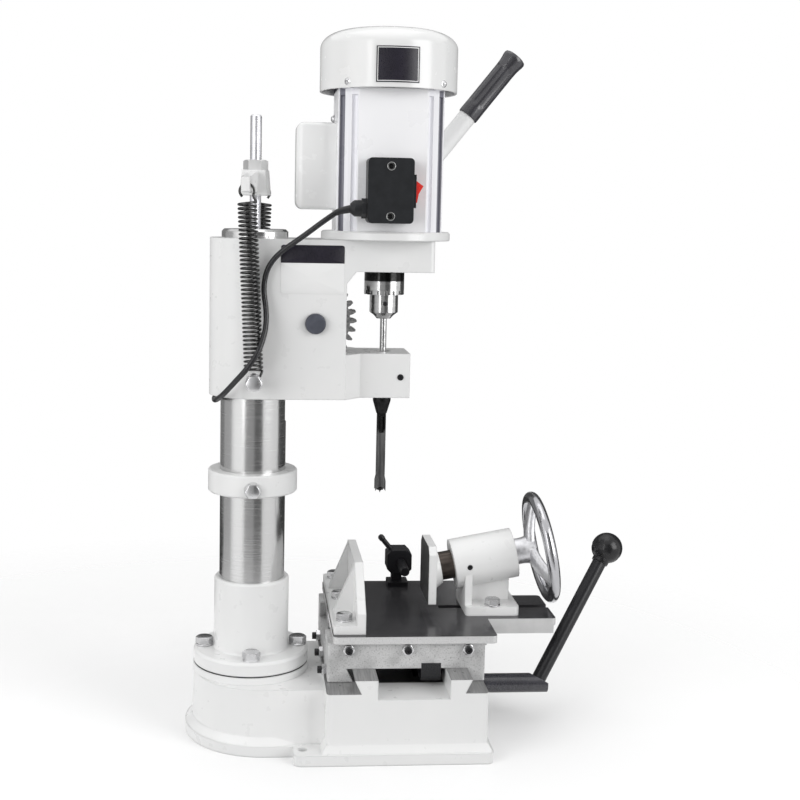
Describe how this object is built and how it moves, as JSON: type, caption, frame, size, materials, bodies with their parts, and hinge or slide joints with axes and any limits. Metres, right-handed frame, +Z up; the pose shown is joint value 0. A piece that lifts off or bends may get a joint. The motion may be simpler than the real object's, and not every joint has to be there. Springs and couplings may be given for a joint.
{
  "type": "hollow chisel mortiser",
  "caption": "White hollow chisel mortiser with a round column, spring-lifted motor head, keyed chuck and square chisel, and a cross-slide table with fixed jaw and handwheel vise.",
  "frame": {"origin": "on the column axis, in the plane of the underside of the base", "axes": "+X from the column to the operator, +Y to the far side, +Z up"},
  "size_m": [0.5662, 0.366, 0.857],
  "materials": {
    "white_paint": "gloss white enamel on cast iron and sheet",
    "black_steel": "black oxide",
    "zinc_steel": "bright zinc plate",
    "ground_steel": "ground bright steel",
    "dark_steel": "dark oiled steel",
    "gear_steel": "machined steel",
    "raw_iron": "light speckled cast grey",
    "ground_iron": "ground cast iron",
    "silver_aluminium": "extruded aluminium",
    "chrome": "bright chrome",
    "black_rubber": "matte black rubber",
    "black_plastic": "moulded black plastic",
    "gloss_black": "polished black plastic",
    "red_plastic": "moulded red plastic"
  },
  "bodies": {
    "base": {"base_casting": "white_paint", "flange_gasket": "black_rubber", "column_socket": "white_paint", "flange_bolts": "zinc_steel", "column": "ground_steel", "column_rack": "dark_steel", "spring_rod": "zinc_steel", "spring_hanger": "white_paint", "hanger_nut": "zinc_steel", "near_spring": "dark_steel", "far_spring": "dark_steel", "power_cord_drop": "black_rubber", "power_cord_coil": "black_rubber", "cord_tie": "black_plastic", "power_plug": "black_plastic"},
    "depth_collar": {"stop_collar": "white_paint", "collar_bolt": "zinc_steel"},
    "head": {"head_casting": "white_paint", "spring_anchors": "zinc_steel", "chisel": "dark_steel", "motor_end_plate": "white_paint", "motor_frame": "silver_aluminium", "motor_cover": "white_paint", "motor_bearings": "ground_steel", "stator": "dark_steel", "capacitor_box": "white_paint", "switch_box": "black_plastic", "cable_gland": "black_plastic", "power_cord_lead": "black_rubber"},
    "feed": {"feed_shaft": "black_steel", "feed_gear": "gear_steel", "feed_lever": "white_paint", "lever_grip": "black_rubber"},
    "spindle": {"rotor_shaft": "ground_steel", "rotor_core": "dark_steel", "cooling_fan": "black_plastic", "chuck": "ground_steel", "auger_bit": "dark_steel"},
    "switch_rocker": {"rocker": "red_plastic"},
    "saddle_slide": {"saddle": "raw_iron", "saddle_gib": "dark_steel", "table_gib": "dark_steel", "gib_screws": "black_steel", "saddle_rack": "black_steel"},
    "side_lever": {"lever_shaft": "black_steel", "lever_pinion": "dark_steel", "lever_arm": "black_steel", "ball_knob": "gloss_black"},
    "table_top": {"table": "ground_iron", "fixed_jaw": "white_paint", "table_bolts": "zinc_steel", "vise_body": "white_paint", "stop_post": "black_steel", "stop_block": "black_steel"},
    "vise_wheel": {"vise_screw": "ground_steel", "handwheel": "chrome"},
    "vise_jaw": {"vise_ram": "dark_steel", "movable_jaw": "white_paint"},
    "work_stop": {"stop_rod": "black_steel"},
    "stop_clamp": {"clamp_handle": "black_steel"}
  },
  "joints": [
    {"name": "head_feed", "type": "slide", "parent": "base", "child": "head", "axis": [0, 0, 1], "range_m": [-0.08, 0], "stiffness_N_per_m": 1500, "springref_m": 0.25, "deforming": ["near_spring", "far_spring", "power_cord_drop"]},
    {"name": "feed_lever_turn", "type": "hinge", "parent": "head", "child": "feed", "pos_m": [0.0715, 0, 0.512], "axis": [0, 1, 0], "range_deg": [0, 93.55]},
    {"name": "spindle_turn", "type": "hinge", "parent": "head", "child": "spindle", "pos_m": [0.1575, 0, 0.6], "axis": [0, 0, 1], "continuous": true},
    {"name": "switch_rock", "type": "hinge", "parent": "head", "child": "switch_rocker", "pos_m": [0.1785, -0.078, 0.668], "axis": [0, -1, 0], "range_deg": [0, 40]},
    {"name": "collar_slide", "type": "slide", "parent": "base", "child": "depth_collar", "axis": [0, 0, 1], "range_m": [-0.1, 0]},
    {"name": "saddle_travel", "type": "slide", "parent": "base", "child": "saddle_slide", "axis": [0, 1, 0], "range_m": [-0.07, 0.02]},
    {"name": "side_lever_turn", "type": "hinge", "parent": "base", "child": "side_lever", "pos_m": [0.2, 0, 0.051], "axis": [1, 0, 0], "range_deg": [-33.71, 117.97]},
    {"name": "table_travel", "type": "slide", "parent": "saddle_slide", "child": "table_top", "axis": [1, 0, 0], "range_m": [-0.012, 0.015]},
    {"name": "vise_wheel_turn", "type": "hinge", "parent": "table_top", "child": "vise_wheel", "pos_m": [0.2566, 0.033, 0.1976], "axis": [-0.9823, 0, -0.1874], "range_deg": [-450, 4500]},
    {"name": "vise_jaw_travel", "type": "slide", "parent": "table_top", "child": "vise_jaw", "axis": [-0.9823, 0, -0.1874], "range_m": [-0.00501, 0.05001]},
    {"name": "stop_rod_slide", "type": "slide", "parent": "table_top", "child": "work_stop", "axis": [0, 1, 0], "range_m": [-0.03, 0.03]},
    {"name": "stop_clamp_turn", "type": "hinge", "parent": "table_top", "child": "stop_clamp", "pos_m": [0.201, 0.1335, 0.175], "axis": [-0.6353, 0, 0.7723], "range_deg": [0, 120]}
  ],
  "couplings": [
    {"joint": "feed_lever_turn", "follows": "head_feed", "rad_per_m": -20.408},
    {"joint": "side_lever_turn", "follows": "saddle_travel", "rad_per_m": -29.412},
    {"joint": "vise_jaw_travel", "follows": "vise_wheel_turn", "m_per_rad": 0.00063662}
  ]
}
